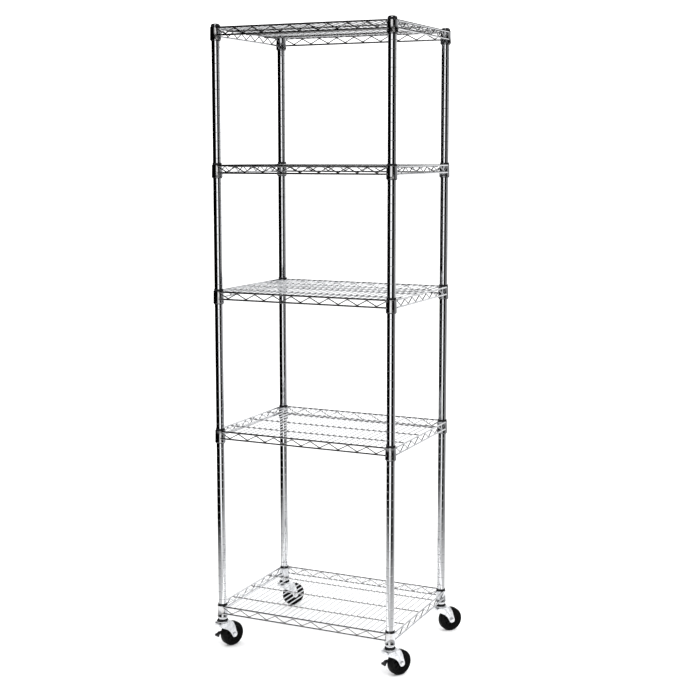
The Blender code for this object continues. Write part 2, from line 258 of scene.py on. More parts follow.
leverFinish = {
    "coat": (0.012, 0.012, 0.013, 1.0),
    "steel": (0.46, 0.46, 0.47, 1.0),
    "roughness": 0.34,
    "chips": (0.70, 0.74),
}


def makeLeverCoat(values):
    material, shader, graph, place = startFinish("lever coating", {"Specular IOR Level": 0.5})
    chips = graph.noise(place, 210.0, 5.0, 0.7).ramp(*values["chips"])
    haze = graph.noise(place, 60.0, 4.0).ramp(0.4, 0.8)
    graph.join(graph.mixColour(chips, values["coat"], values["steel"]), shader.inputs["Base Color"])
    graph.join(chips * 0.9, shader.inputs["Metallic"])
    graph.join(values["roughness"] + haze * 0.16 + chips * 0.10, shader.inputs["Roughness"])
    roughen(graph, shader, graph.noise(place, 1400.0, 2.0) - chips * 0.6, 0.00005, 0.4)
    return material


def middleOf(node):
    low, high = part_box(node)
    return (low + high) / 2


def topOf(node):
    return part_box(node)[1].z


def lowOf(node):
    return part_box(node)[0].z


posts = {corner: middleOf(f"post_{corner}") for corner in corners}
postX = posts["front_right"].x
postY = posts["back_right"].y
levels = {tier: topOf(f"sleeve_{tier}_front_left") for tier in tiers}
railOffset = 0.0130  # from the centre line of a post out to the centre line of a rail
supportSpacing = 0.1190  # between the three lengthwise wires

finishes = {
    "post": makePostChrome(postFinish, lowOf("post_front_left") + postFinish["groovePitch"] / 2),
    "wire": makeWireChrome(darkenedWireFinish, (0.0, supportSpacing, postY + railOffset)),
    "zinc": makeZinc(zincFinish),
    "lever": makeLeverCoat(leverFinish),
}
for finishName, finishValues in darkFinishes.items():
    finishes[finishName.split()[0]] = makeDark(finishName, finishValues)
print("finishes made,", len(finishes))


# Meshes

def toMesh(name, bm, angle=smoothAngle):
    bmesh.ops.remove_doubles(bm, verts=bm.verts, dist=1e-6)
    bmesh.ops.recalc_face_normals(bm, faces=bm.faces)
    mesh = bpy.data.meshes.new(name)
    bm.to_mesh(mesh)
    bm.free()
    mesh.shade_smooth()
    mesh.set_sharp_from_angle(angle=angle)
    return mesh


def turn(bm, profile, sides=40, along="Z", centre=(0.0, 0.0, 0.0), phase=0.0):
    # turns a closed (radius, height) loop, with the points on the axis as poles
    rings = []
    for radius, height in profile:
        ring = []
        for index in range(sides if radius > 0.0 else 1):
            angle = phase + math.tau * index / sides
            across, around = radius * math.cos(angle), radius * math.sin(angle)
            local = (across, around, height) if along == "Z" else (across, height, around)
            ring.append(bm.verts.new(Vector(local) + Vector(centre)))
        rings.append(ring)
    pairs = list(zip(rings, rings[1:]))
    if len(rings[0]) > 1:
        pairs.append((rings[-1], rings[0]))
    for first, second in pairs:
        for index in range(sides):
            after = (index + 1) % sides
            loop = []
            for ring, step in ((first, index), (first, after), (second, after), (second, index)):
                point = ring[step % len(ring)]
                if point not in loop:
                    loop.append(point)
            if len(loop) > 2:
                bm.faces.new(loop)


def arc(centre, radius, start, stop, count):
    points = []
    for index in range(count):
        angle = math.radians(start + (stop - start) * index / (count - 1))
        points.append((centre[0] + radius * math.cos(angle), centre[1] + radius * math.sin(angle)))
    return points


def slab(bm, outline, low, high):  # a flat outline in X and Z, given its thickness along Y
    loops = [[bm.verts.new((x, y, z)) for x, z in outline] for y in (low, high)]
    bm.faces.new(loops[0])
    bm.faces.new(loops[1][::-1])
    for index in range(len(outline)):
        after = (index + 1) % len(outline)
        bm.faces.new((loops[0][index], loops[1][index], loops[1][after], loops[0][after]))


def bridge(bm, rings):  # faces from each closed ring of points to the next
    for first, second in zip(rings, rings[1:]):
        for index in range(len(first)):
            after = (index + 1) % len(first)
            bm.faces.new((first[index], first[after], second[after], second[index]))


def newObject(name, mesh):
    item = bpy.data.objects.new(name, mesh)
    bpy.context.scene.collection.objects.link(item)
    return item


def evaluated(item):  # the finished mesh of an object with modifiers, which is then removed
    bpy.context.view_layer.update()
    result = item.evaluated_get(bpy.context.evaluated_depsgraph_get())
    mesh = bpy.data.meshes.new_from_object(result)
    bpy.data.objects.remove(item, do_unlink=True)
    mesh.shade_smooth()
    mesh.set_sharp_from_angle(angle=smoothAngle)
    return mesh


def pressed(name, base, steps, width):
    # cuts and joins meshes exactly, then rounds every edge as pressing does
    item = newObject(name, base)
    others = []
    for operation, mesh in steps:
        other = newObject("tool", mesh)
        modifier = item.modifiers.new("cut", "BOOLEAN")
        modifier.operation = operation
        modifier.solver = "EXACT"
        modifier.object = other
        others.append(other)
    modifier = item.modifiers.new("round", "BEVEL")
    modifier.width = width
    modifier.segments = 2
    modifier.limit_method = "ANGLE"
    modifier.angle_limit = math.radians(40)
    mesh = evaluated(item)
    for other in others:
        bpy.data.objects.remove(other, do_unlink=True)
    return mesh


def assemble(name, parts, body, nodes=()):
    # joins (mesh, material, matrix) parts in one piece that rides on a body
    bm = bmesh.new()
    materials = []
    for mesh, material, matrix in parts:
        if material not in materials:
            materials.append(material)
        copy = mesh.copy()
        copy.transform(matrix)
        start = len(bm.faces)
        bm.from_mesh(copy)
        bm.faces.ensure_lookup_table()
        for face in bm.faces[start:]:
            face.material_index = materials.index(material)
        bpy.data.meshes.remove(copy)
    mesh = bpy.data.meshes.new(name)
    bm.to_mesh(mesh)
    bm.free()
    for material in materials:
        mesh.materials.append(material)
    piece = newObject(name, mesh)
    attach(piece, body)
    if nodes:
        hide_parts(*nodes)


# Geometry Nodes: what repeats or follows a path

def startTree(name, inputs):
    tree = bpy.data.node_groups.new(name, "GeometryNodeTree")
    tree.interface.new_socket("Geometry", in_out="OUTPUT", socket_type="NodeSocketGeometry")
    for label, kind in inputs.items():
        tree.interface.new_socket(label, in_out="INPUT", socket_type="NodeSocket" + kind)
    graph = Graph(tree)
    source = graph.add("NodeGroupInput")
    return graph, {label: source.other(label) for label in inputs}


def endTree(graph, geometry, material):
    real = graph.add("GeometryNodeRealizeInstances", None, {"Geometry": geometry})
    painted = graph.add("GeometryNodeSetMaterial", None, {"Geometry": real, "Material": material})
    graph.join(painted, graph.tree.nodes.new("NodeGroupOutput").inputs["Geometry"])
    return graph.tree


def grow(name, tree, values, points=()):
    mesh = bpy.data.meshes.new(name)
    mesh.from_pydata([tuple(point) for point in points], [], [])
    item = newObject(name, mesh)
    modifier = item.modifiers.new("nodes", "NODES")
    modifier.node_group = tree
    for socket in tree.interface.items_tree:
        if socket.in_out == "INPUT" and socket.name in values:
            modifier[socket.identifier] = values[socket.name]
    return evaluated(item)


def roundWire(graph, curve, diameter, sides):
    sockets = {"Resolution": sides, "Radius": diameter / 2}
    profile = graph.add("GeometryNodeCurvePrimitiveCircle", None, sockets)
    sockets = {"Curve": curve, "Profile Curve": profile, "Fill Caps": True}
    return graph.add("GeometryNodeCurveToMesh", None, sockets)


def makePostTree():
    inputs = {"Start": "Vector", "Length": "Float", "Radius": "Float", "Pitch": "Float",
              "Groove Width": "Float", "Groove Depth": "Float", "Pitches": "Int", "Sides": "Int",
              "Material": "Material"}
    graph, given = startTree("grooved post", inputs)
    rings = 8
    sockets = {"Vertices": given["Sides"], "Side Segments": given["Pitches"] * rings,
               "Radius": given["Radius"], "Depth": given["Pitches"] * given["Pitch"]}
    tube = graph.add("GeometryNodeMeshCylinder", {"fill_type": "NGON"}, sockets)
    place = graph.add("GeometryNodeInputPosition")
    parts = graph.add("ShaderNodeSeparateXYZ", None, {0: place})
    height = parts.other("Z") + given["Pitches"] * given["Pitch"] / 2
    share = height / given["Pitch"] * rings
    ring = graph.maths("ROUND", share)
    turns = ring / rings
    pitchStart = graph.maths("FLOOR", turns) * given["Pitch"]
    phase = ring % rings
    groove = given["Groove Width"]
    half = 0.5 * given["Pitch"]
    # rings of one pitch: tube, edge, lip, groove floor twice, lip, edge, tube
    spots = {1: 0.0, 2: half - groove * 0.64, 3: half - groove / 2, 4: half - groove * 0.18,
             5: half + groove * 0.18, 6: half + groove / 2, 7: half + groove * 0.64, 8: given["Pitch"] * 0.78}
    settings = {"data_type": "FLOAT", "items": rings}
    spot = graph.add("GeometryNodeIndexSwitch", settings, {0: phase, **spots})
    sunk = graph.maths("COMPARE", phase, 3.5, 0.6)  # the two rings of the groove floor
    squeeze = 1.0 - sunk * given["Groove Depth"] / given["Radius"]
    raised = pitchStart + spot
    level = graph.maths("MINIMUM", raised, given["Length"])
    target = graph.add("ShaderNodeCombineXYZ", None,
                       {0: parts.other("X") * squeeze, 1: parts.other("Y") * squeeze, 2: level})
    moved = graph.add("ShaderNodeVectorMath", {"operation": "ADD"}, {0: target, 1: given["Start"]})
    shaped = graph.add("GeometryNodeSetPosition", None, {"Geometry": tube, "Position": moved})
    return endTree(graph, shaped, given["Material"])


def makeWireRowTree():
    inputs = {"Start": "Vector", "Run": "Vector", "Step": "Vector", "Count": "Int",
              "Diameter": "Float", "Sides": "Int", "Material": "Material"}
    graph, given = startTree("row of straight wires", inputs)
    row = graph.add("GeometryNodeMeshLine", None,
                    {"Count": given["Count"], "Start Location": given["Start"], "Offset": given["Step"]})
    wire = graph.add("GeometryNodeCurvePrimitiveLine", None, {"End": given["Run"]})
    wires = graph.add("GeometryNodeInstanceOnPoints", None, {"Points": row, "Instance": wire})
    curves = graph.add("GeometryNodeRealizeInstances", None, {"Geometry": wires})
    return endTree(graph, roundWire(graph, curves, given["Diameter"], given["Sides"]), given["Material"])


def makeSnakeTree():
    inputs = {"Start": "Vector", "Half Pitch": "Vector", "Points": "Int", "Rise": "Float",
              "Bend Radius": "Float", "Diameter": "Float", "Sides": "Int", "Material": "Material"}
    graph, given = startTree("snake wire", inputs)
    line = graph.add("GeometryNodeMeshLine", None,
                     {"Count": given["Points"], "Start Location": given["Start"],
                      "Offset": given["Half Pitch"]})
    up = 1.0 - graph.add("GeometryNodeInputIndex") % 2  # first point is a crest
    lift = graph.add("ShaderNodeCombineXYZ", None, {2: up * given["Rise"]})
    zigzag = graph.add("GeometryNodeSetPosition", None, {"Geometry": line, "Offset": lift})
    curve = graph.add("GeometryNodeMeshToCurve", None, {"Mesh": zigzag})
    bent = graph.add("GeometryNodeFilletCurve", {"mode": "POLY"},
                     {"Curve": curve, "Count": 5, "Radius": given["Bend Radius"], "Limit Radius": True})
    return endTree(graph, roundWire(graph, bent, given["Diameter"], given["Sides"]), given["Material"])


def makeScatterTree():
    # one shape at each vertex of the object, each turned one step further
    inputs = {"Geometry In": "Geometry", "Shape": "Object", "Turn Step": "Float", "Material": "Material"}
    graph, given = startTree("shape at each point", inputs)
    shape = graph.add("GeometryNodeObjectInfo", None, {"Object": given["Shape"]}, out="Geometry")
    turned = graph.add("ShaderNodeCombineXYZ", None,
                       {2: graph.add("GeometryNodeInputIndex") * given["Turn Step"]})
    placed = graph.add("GeometryNodeInstanceOnPoints", None,
                       {"Points": given["Geometry In"], "Instance": shape, "Rotation": turned})
    return endTree(graph, placed, given["Material"])


def makeRingTree():
    # one shape repeated round a circle
    inputs = {"Shape": "Object", "Centre": "Vector", "Count": "Int", "Radius": "Float",
              "Material": "Material"}
    graph, given = startTree("shape round a ring", inputs)
    shape = graph.add("GeometryNodeObjectInfo", None, {"Object": given["Shape"]}, out="Geometry")
    sockets = {"Vertices": given["Count"], "Radius": given["Radius"]}
    circle = graph.add("GeometryNodeMeshCircle", None, sockets)
    step = math.tau * graph.add("GeometryNodeInputIndex") / given["Count"]
    moved = graph.add("GeometryNodeSetPosition", None, {"Geometry": circle, "Offset": given["Centre"]})
    turned = graph.add("ShaderNodeCombineXYZ", None, {2: step})
    placed = graph.add("GeometryNodeInstanceOnPoints", None,
                       {"Points": moved, "Instance": shape, "Rotation": turned})
    return endTree(graph, placed, given["Material"])


trees = {
    "post": makePostTree(),
    "wires": makeWireRowTree(),
    "snake": makeSnakeTree(),
    "scatter": makeScatterTree(),
    "ring": makeRingTree(),
}
print("node trees made,", len(trees))


def shapeAt(name, shape, points, material, turnStep=0.0):
    source = newObject("shape", shape)
    values = {"Shape": source, "Turn Step": turnStep, "Material": material}
    mesh = grow(name, trees["scatter"], values, points)
    bpy.data.objects.remove(source, do_unlink=True)
    return mesh


def shapeRound(name, shape, centre, count, radius, material):
    source = newObject("shape", shape)
    values = {"Shape": source, "Centre": centre, "Count": count, "Radius": radius,
              "Material": material}
    mesh = grow(name, trees["ring"], values)
    bpy.data.objects.remove(source, do_unlink=True)
    return mesh


def bead(size, flat=1.0, detail=2):  # a small round lump for welds and bearing balls
    bm = bmesh.new()
    bmesh.ops.create_icosphere(bm, subdivisions=detail, radius=size)
    bmesh.ops.scale(bm, vec=(1.0, 1.0, flat), verts=bm.verts)
    return toMesh("bead", bm, math.radians(80))


still = Matrix.Identity(4)


# Posts, with their caps and sleeves

post = {
    "radius": 0.0127,
    "grooveDepth": 0.00038,
    "grooveWidth": 0.0016,
    "sides": 40,
}


def buildPosts(values):
    pitch = postFinish["groovePitch"]
    for corner, centre in posts.items():
        low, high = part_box(f"post_{corner}")
        length = high.z - low.z
        given = {"Start": (centre.x, centre.y, low.z), "Length": length, "Radius": values["radius"],
                 "Pitch": pitch, "Pitches": round(length / pitch), "Groove Width": values["grooveWidth"],
                 "Groove Depth": values["grooveDepth"], "Sides": values["sides"],
                 "Material": finishes["post"]}
        tube = grow("tube", trees["post"], given)
        parts = [(tube, finishes["post"], still)]
        assemble(f"chrome_post_{corner}", parts, "post_frame", [f"post_{corner}"])


cap = {
    "rim": 0.0127,
    "rimHeight": 0.0007,
    "domeRadius": 0.0118,
    "plug": 0.0110,
    "plugDepth": 0.0120,
}


def buildCaps(values):
    crown = topOf("post_cap_front_left")
    seat = topOf("post_front_left")
    rise = crown - seat - values["rimHeight"]
    profile = [(0.0, rise + values["rimHeight"])]
    for index in range(1, 9):
        angle = math.radians(90 * index / 9)
        profile.append((values["domeRadius"] * math.sin(angle), values["rimHeight"] + rise * math.cos(angle)))
    rim = values["rim"]
    profile += [(rim - 0.0003, values["rimHeight"]), (rim, values["rimHeight"] - 0.0003), (rim, 0.0003),
                (rim - 0.0003, 0.00005), (values["plug"], 0.00005), (values["plug"], -values["plugDepth"]),
                (0.0, -values["plugDepth"])]
    bm = bmesh.new()
    turn(bm, profile, 48)
    places = [Vector((point.x, point.y, seat)) for point in posts.values()]
    mesh = shapeAt("caps", toMesh("cap", bm), places, finishes["cap"])
    assemble("post_caps", [(mesh, finishes["cap"], still)], "post_frame",
             [f"post_cap_{corner}" for corner in corners])


sleeve = {
    "inside": 0.01285,
    "topRadius": 0.0142,
    "bottomRadius": 0.0149,
    "lip": 0.0007,
    "slit": 0.0013,
    "turnStep": math.radians(97),
    "sides": 48,
}


def buildSleeves(values):
    height = topOf("sleeve_top_front_left") - lowOf("sleeve_top_front_left")
    inside, top, low, lip = values["inside"], values["topRadius"], values["bottomRadius"], values["lip"]
    section = [(inside, -lip), (inside + lip * 0.4, 0.0), (top - lip, 0.0), (top - lip * 0.3, -lip * 0.3),
               (top, -lip), (top + 0.00004, -0.0034), (top - 0.00025, -0.0039), (top - 0.00020, -0.0046),
               (top + 0.00009, -0.0051), (low, lip - height), (low - lip * 0.3, lip * 0.3 - height),
               (low - lip, -height), (inside + lip * 0.4, -height), (inside, lip - height)]
    halfGap = values["slit"] / 2 / inside
    bm = bmesh.new()
    for start, stop in ((halfGap, math.pi - halfGap), (math.pi + halfGap, math.tau - halfGap)):
        rings = []
        for index in range(values["sides"] // 2 + 1):
            angle = start + (stop - start) * index / (values["sides"] // 2)
            across, around = math.cos(angle), math.sin(angle)
            rings.append([bm.verts.new((r * across, r * around, z)) for r, z in section])
        bridge(bm, rings)
        bm.faces.new(rings[0])
        bm.faces.new(rings[-1][::-1])
    places = [Vector((point.x, point.y, levels[tier])) for tier in tiers for point in posts.values()]
    # each slit faces its own way
    mesh = shapeAt("sleeves", toMesh("sleeve", bm), places, finishes["sleeve"], values["turnStep"])
    assemble("split_sleeves", [(mesh, finishes["sleeve"], still)], "post_frame",
             [f"sleeve_{tier}_{corner}" for tier in tiers for corner in corners])


buildPosts(post)
buildCaps(cap)
buildSleeves(sleeve)
print("posts, caps and sleeves made")


# Wire shelves, drawn once with the tops of their sleeves at height 0

shelf = {
    "railDiameter": 0.0056,
    "railTop": -0.0079,
    "railLow": -0.0299,
    "railStop": 0.0110,
    "railOffset": railOffset,
    "snakeDiameter": 0.0036,
    "snakeBend": 0.0075,
    "snakeBite": 0.0016,
    "frontFeet": 9,
    "sideFeet": 7,
    "firstFoot": 0.0406,
    "deckDiameter": 0.0034,
    "deckLevel": -0.0072,
    "deckPitch": 0.0198,
    "deckEachSide": 14,
    "endWireStop": 0.0137,
    "supportDiameter": 0.0046,
    "supportSpacing": supportSpacing,
    "weldRadius": 0.00105,
    "weldFlat": 0.7,
    "weldInset": 0.0010,
    "filletRadius": 0.0021,
    "filletFlat": 0.8,
    "filletAngles": (0.70, 0.86, 1.02),
}
collar = {
    "top": -0.0060,
    "bottom": -0.0435,
    "insideTop": 0.01462,
    "insideBottom": 0.01519,
    "wall": 0.0013,
    "roll": 0.0005,
    "sides": 56,
}


def wireRow(start, run, step, count, diameter, sides=12):
    given = {"Start": start, "Run": run, "Step": step, "Count": count, "Diameter": diameter,
             "Sides": sides, "Material": finishes["wire"]}
    return grow("wires", trees["wires"], given)


def collarMesh(values):
    top, low, wall, roll = values["top"], values["bottom"], values["wall"], values["roll"]
    inner, outer = values["insideTop"], values["insideBottom"]
    profile = [(inner, top - 0.0006), (inner + 0.0003, top), (inner + wall, top),
               (inner + wall + roll, top - 0.0007), (inner + wall + roll, top - 0.0017),
               (inner + wall, top - 0.0027), (outer + wall, low + 0.0030),
               (outer + wall + roll, low + 0.0019), (outer + wall + roll, low + 0.0008),
               (outer + wall, low), (outer + 0.0003, low), (outer, low + 0.0006)]
    bm = bmesh.new()
    turn(bm, profile, values["sides"])
    return toMesh("collar", bm, math.radians(50))


def crossLevel(values):  # where the snake wire bends tuck against the rails
    inset = values["railDiameter"] / 2 + values["snakeDiameter"] / 2 - values["snakeBite"]
    return values["railTop"] - inset, values["railLow"] + inset


def snakeMesh(values, span, feet, offset, turned):
    pitch = (span - 2 * values["firstFoot"]) / (feet - 1)
    high, low = crossLevel(values)
    begin = -span / 2 + values["firstFoot"] - pitch / 2
    start = (offset, begin, low) if turned else (begin, offset, low)
    step = (0.0, pitch / 2, 0.0) if turned else (pitch / 2, 0.0, 0.0)
    given = {"Start": start, "Half Pitch": step, "Points": 2 * feet + 1, "Rise": high - low,
             "Bend Radius": values["snakeBend"], "Diameter": values["snakeDiameter"], "Sides": 10,
             "Material": finishes["wire"]}
    return grow("snake", trees["snake"], given), begin, pitch


def trussParts(values):
    parts, welds = [], []
    for span, offset, feet, turned in ((2 * postX, postY, values["frontFeet"], False),
                                       (2 * postY, postX, values["sideFeet"], True)):
        reach = span / 2 - values["railStop"]
        line = offset + values["railOffset"]
        for level in (values["railTop"], values["railLow"]):
            start = (-line, -reach, level) if turned else (-reach, -line, level)
            run = (0.0, 2 * reach, 0.0) if turned else (2 * reach, 0.0, 0.0)
            step = (2 * line, 0.0, 0.0) if turned else (0.0, 2 * line, 0.0)
            parts.append(wireRow(start, run, step, 2, values["railDiameter"], 16))
        for side in (-1, 1):
            mesh, begin, pitch = snakeMesh(values, span, feet, side * line, turned)
            parts.append(mesh)
            high, low = crossLevel(values)
            for index in range(2 * feet + 1):
                along = begin + index * pitch / 2
                level = high + values["weldInset"] if index % 2 == 0 else low - values["weldInset"]
                welds.append((side * line, along, level) if turned else (along, side * line, level))
    return parts, welds


def deckParts(values):
    pitch, each = values["deckPitch"], values["deckEachSide"]
    reach = postY + values["railOffset"]
    level = values["deckLevel"]
    parts = [wireRow((-pitch * (each - 1), -reach, level), (0.0, 2 * reach, 0.0), (pitch, 0.0, 0.0),
                     2 * each - 1, values["deckDiameter"])]
    stop = postY - values["endWireStop"]
    parts.append(wireRow((-pitch * each, -stop, level), (0.0, 2 * stop, 0.0), (2 * pitch * each, 0.0, 0.0), 2,
                         values["deckDiameter"]))
    under = level - values["deckDiameter"] / 2 - values["supportDiameter"] / 2
    width = postX + values["railOffset"]
    parts.append(wireRow((-width, -values["supportSpacing"], under), (2 * width, 0.0, 0.0),
                         (0.0, values["supportSpacing"], 0.0), 3, values["supportDiameter"]))
    welds = []
    for index in range(-each, each + 1):
        rows = [row * values["supportSpacing"] for row in (-1, 0, 1)]
        if abs(index) < each:
            rows += [-reach + values["railDiameter"] / 2, reach - values["railDiameter"] / 2]
        for row in rows:
            welds.append((index * pitch, row, level - values["deckDiameter"] / 2))
    for row in (-1, 0, 1):
        for side in (-1, 1):
            welds.append((side * (width - values["railDiameter"] / 2), row * values["supportSpacing"], under))
    return parts, welds


def collarWelds(values, collarValues):
    # fillets round the rail ends, which butt into the sides of the collars
    spots = []
    reach = collarValues["insideTop"] + collarValues["wall"]
    for point in posts.values():
        for level in (values["railTop"], values["railLow"]):
            for slant in values["filletAngles"]:
                near, far = reach * math.cos(slant), reach * math.sin(slant)
                outX, outY = math.copysign(1.0, point.x), math.copysign(1.0, point.y)
                spots.append((point.x - outX * near, point.y + outY * far, level))
                spots.append((point.x + outX * far, point.y - outY * near, level))
    return spots


def buildShelves(values, collarValues):
    parts, welds = trussParts(values)
    deck, deckWelds = deckParts(values)
    lump = bead(values["weldRadius"], values["weldFlat"], 1)
    lumps = shapeAt("welds", lump, welds + deckWelds, finishes["wire"])
    spots = collarWelds(values, collarValues)
    fillet = bead(values["filletRadius"], values["filletFlat"])
    fillets = shapeAt("fillets", fillet, spots, finishes["wire"])
    places = [Vector((point.x, point.y, 0.0)) for point in posts.values()]
    rings = shapeAt("collars", collarMesh(collarValues), places, finishes["wire"])
    meshes = parts + deck + [lumps, fillets, rings]
    for tier, level in levels.items():
        lift = Matrix.Translation((0.0, 0.0, level))
        assemble(f"wire_shelf_{tier}", [(mesh, finishes["wire"], lift) for mesh in meshes], f"shelf_{tier}",
                 [f"shelf_{tier}"])


buildShelves(shelf, collar)
print("shelves made,", len(levels))


# Casters, drawn about the swivel axis with the wheel trailing along +X, then turned into place

caster = {
    "trail": (middleOf("caster_axle_front_left") - posts["front_left"]).xy.length,
    "axle": middleOf("caster_axle_front_left").z,
    "forkInside": 0.0146,
    "forkPlate": 0.0020,
    "forkTop": 0.0816,
    "crownRadius": 0.0190,
    "raceRadius": 0.0195,
    "raceTop": 0.0833,
    "balls": 20,
    "ballRadius": 0.0011,
    "ballRing": 0.0164,
    "stemRadius": 0.0055,
    "shadeRingRadius": 0.0168,
# outer radius of the black ring of painted shadow under the swivel head
}


def swivelMatrix(corner):
    centre = posts[corner]
    away = middleOf(f"caster_tyre_{corner}") - centre
    return Matrix.Translation((centre.x, centre.y, 0.0)) @ Matrix.Rotation(math.atan2(away.y, away.x), 4, "Z")


def buildSwivels(values):
    # socket flange, stem, a black ring of painted shadow under the flange, and the two races with their
    # balls, at every corner
    bottom = lowOf("post_front_left")
    flange, cup = bottom - 0.0021, values["raceTop"]
    steel = bmesh.new()
    turn(steel, [(0.0060, bottom + 0.0200), (0.0110, bottom + 0.0200), (0.0110, bottom - 0.0003),
                 (0.0123, bottom - 0.0003), (0.0127, bottom - 0.0007), (0.0127, bottom - 0.0014),
                 (0.0123, bottom - 0.0018), (0.0060, bottom - 0.0018)], 48)
    turn(steel, [(0.0, bottom + 0.0215), (values["stemRadius"] - 0.0006, bottom + 0.0215),
                 (values["stemRadius"], bottom + 0.0209), (values["stemRadius"], flange), (0.0105, flange),
                 (0.0109, flange - 0.0005), (0.0112, flange - 0.0013), (0.0150, cup + 0.0046),
                 (values["raceRadius"] - 0.0009, cup + 0.0040), (values["raceRadius"], cup + 0.0030),
                 (values["raceRadius"], cup + 0.0012), (values["raceRadius"] - 0.0006, cup + 0.0007),
                 (0.0160, cup + 0.0014), (0.0120, cup + 0.0016), (0.0045, cup + 0.0006),
                 (0.0045, 0.0789), (0.0072, 0.0789), (0.0075, 0.0785), (0.0062, 0.0772), (0.0030, 0.0768),
                 (0.0, 0.0767)], 56)
    ballBed = cup + 0.0005
    balls = shapeRound("balls", bead(values["ballRadius"]), (0.0, 0.0, ballBed), values["balls"],
                       values["ballRing"], finishes["zinc"])
    # painted shadow: a black ring fills the gap between the stem flange and the top race, standing in for the
    # shade under the swivel head
    shadeRing = bmesh.new()
    reach = values["shadeRingRadius"]
    turn(shadeRing, [(0.0108, cup + 0.0049), (reach - 0.0006, cup + 0.0044), (reach, cup + 0.0051),
                (reach, cup + 0.0072), (reach - 0.0009, cup + 0.0084), (0.0134, cup + 0.0088),
                (0.0120, cup + 0.0091), (0.0108, cup + 0.0091)], 56)
    # rubber is that ring of painted shadow
    metal, rubber = toMesh("swivel", steel), toMesh("shadeRing", shadeRing)
    spots = [Matrix.Translation((point.x, point.y, 0.0)) for point in posts.values()]
    parts = [(mesh, finishes["zinc"], spot) for mesh in (metal, balls) for spot in spots]
    nodes = [f"{kind}_{corner}" for kind in ("post_socket", "caster_stem") for corner in corners]
    assemble("swivel_heads", parts, "post_frame", nodes)
    # the rings of painted shadow, in the black sleeve finish
    parts = [(rubber, finishes["sleeve"], spot) for spot in spots]
    assemble("swivel_seals", parts, "post_frame")


def smoothLine(points, steps=6):  # Catmull-Rom curve through flat points
    line = []
    for index in range(len(points) - 1):
        last = len(points) - 1
        order = (max(index - 1, 0), index, index + 1, min(index + 2, last))
        a, b, c, d = [Vector(points[place]) for place in order]
        for step in range(steps):
            t = step / steps
            line.append(tuple(0.5 * (2 * b + (c - a) * t + (2 * a - 5 * b + 4 * c - d) * t ** 2
                                     + (3 * b - a - 3 * c + d) * t ** 3)))
    return line + [tuple(points[-1])]


def boxMesh(low, high):
    bm = bmesh.new()
    slab(bm, [(low[0], low[2]), (high[0], low[2]), (high[0], high[2]), (low[0], high[2])], low[1], high[1])
    return toMesh("box", bm)


def rodMesh(radius, low, high, along="Z", centre=(0.0, 0.0, 0.0), sides=40):
    bm = bmesh.new()
    turn(bm, [(0.0, high), (radius, high), (radius, low), (0.0, low)], sides, along, centre)
    return toMesh("rod", bm)


def forkMesh(values):
    axle = (values["trail"], values["axle"])
    top, inside = values["forkTop"], values["forkInside"]
    outside = inside + values["forkPlate"]
    front = smoothLine([(-0.0200, 0.0712), (-0.0110, 0.0668), (-0.0010, 0.0622), (0.0100, 0.0556),
                        (0.0190, 0.0460), (axle[0] - 0.0089, axle[1] - 0.0033)])
    tip = arc(axle, 0.0095, 205.0, 375.0, 18)
    back = smoothLine([(axle[0] + 0.0088, axle[1] + 0.0036), (0.0392, 0.0520), (0.0362, 0.0640),
                       (0.0318, 0.0740), (0.0270, top)])
    outline = [(-0.0200, top)] + front + tip[1:-1] + back
    bm = bmesh.new()
    slab(bm, outline, -outside, outside)
    steps = [("DIFFERENCE", boxMesh((-0.0181, -inside, 0.0), (0.0800, inside, top - 0.0024))),
             ("UNION", rodMesh(values["crownRadius"], top - 0.0024, values["raceTop"] - 0.0004, sides=56)),
             ("DIFFERENCE", rodMesh(0.0049, 0.0600, 0.1000)),
             ("DIFFERENCE", rodMesh(0.0042, -0.0300, 0.0300, "Y", (axle[0], 0.0, axle[1]), 24))]
    return pressed("fork", toMesh("fork", bm), steps, 0.0006)


def ribMesh(values):
    # raised strengthening rib pressed down the middle of each leg
    outside = values["forkInside"] + values["forkPlate"]
    bm = bmesh.new()
    line = smoothLine([(0.0065, 0.0772), (0.0120, 0.0690), (0.0195, 0.0590), (0.0262, 0.0502)], 7)
    for side in (-1, 1):
        rings = []
        for index, (x, z) in enumerate(line):
            share = index / (len(line) - 1)
            half = 0.0034 * math.sin(math.pi * (0.10 + 0.80 * share)) ** 0.5 * (1.0 - 0.25 * share)
            ahead = Vector(line[min(index + 1, len(line) - 1)]) - Vector(line[max(index - 1, 0)])
            normal = Vector((-ahead.y, ahead.x)).normalized()
            ring = []
            for step in range(9):
                angle = math.pi * step / 8
                shift = normal * (half * math.cos(angle))
                full = 1.0 if 0 < index < len(line) - 1 else 0.3
                raised = outside - 0.0002 + 0.0011 * math.sin(angle) * full
                ring.append(bm.verts.new((x + shift.x, side * raised, z + shift.y)))
            rings.append(ring)
        bridge(bm, rings)
        bm.faces.new(rings[0])
        bm.faces.new(rings[-1])
    return toMesh("rib", bm)


def axleMesh(values, seats):
    # bolt with a washer and a domed hexagon at each end, one its head and one its nut
    bm = bmesh.new()
    centre = (values["trail"], 0.0, values["axle"])
    ends = {side: seat + 0.0034 for side, seat in seats.items()}
    turn(bm, [(0.0, ends[1] - 0.0009), (0.0039, ends[1] - 0.0009), (0.0039, 0.0009 - ends[-1]),
              (0.0, 0.0009 - ends[-1])], 24, "Y", centre)
    for side, seat in seats.items():
        end = ends[side]
        washer = [(0.0040, seat), (0.0066, seat), (0.0068, seat + 0.0003), (0.0068, seat + 0.0007),
                  (0.0066, seat + 0.0010), (0.0040, seat + 0.0010)]
        turn(bm, [(radius, side * depth) for radius, depth in washer], 32, "Y", centre)
        head = [(0.0, seat + 0.0010), (0.0060, seat + 0.0010), (0.0060, end - 0.0009), (0.0052, end - 0.0001),
                (0.0026, end), (0.0, end)]
        turn(bm, [(radius, side * depth) for radius, depth in head], 6, "Y", centre, 0.3 + side * 0.35)
    return toMesh("axle", bm, math.radians(28))


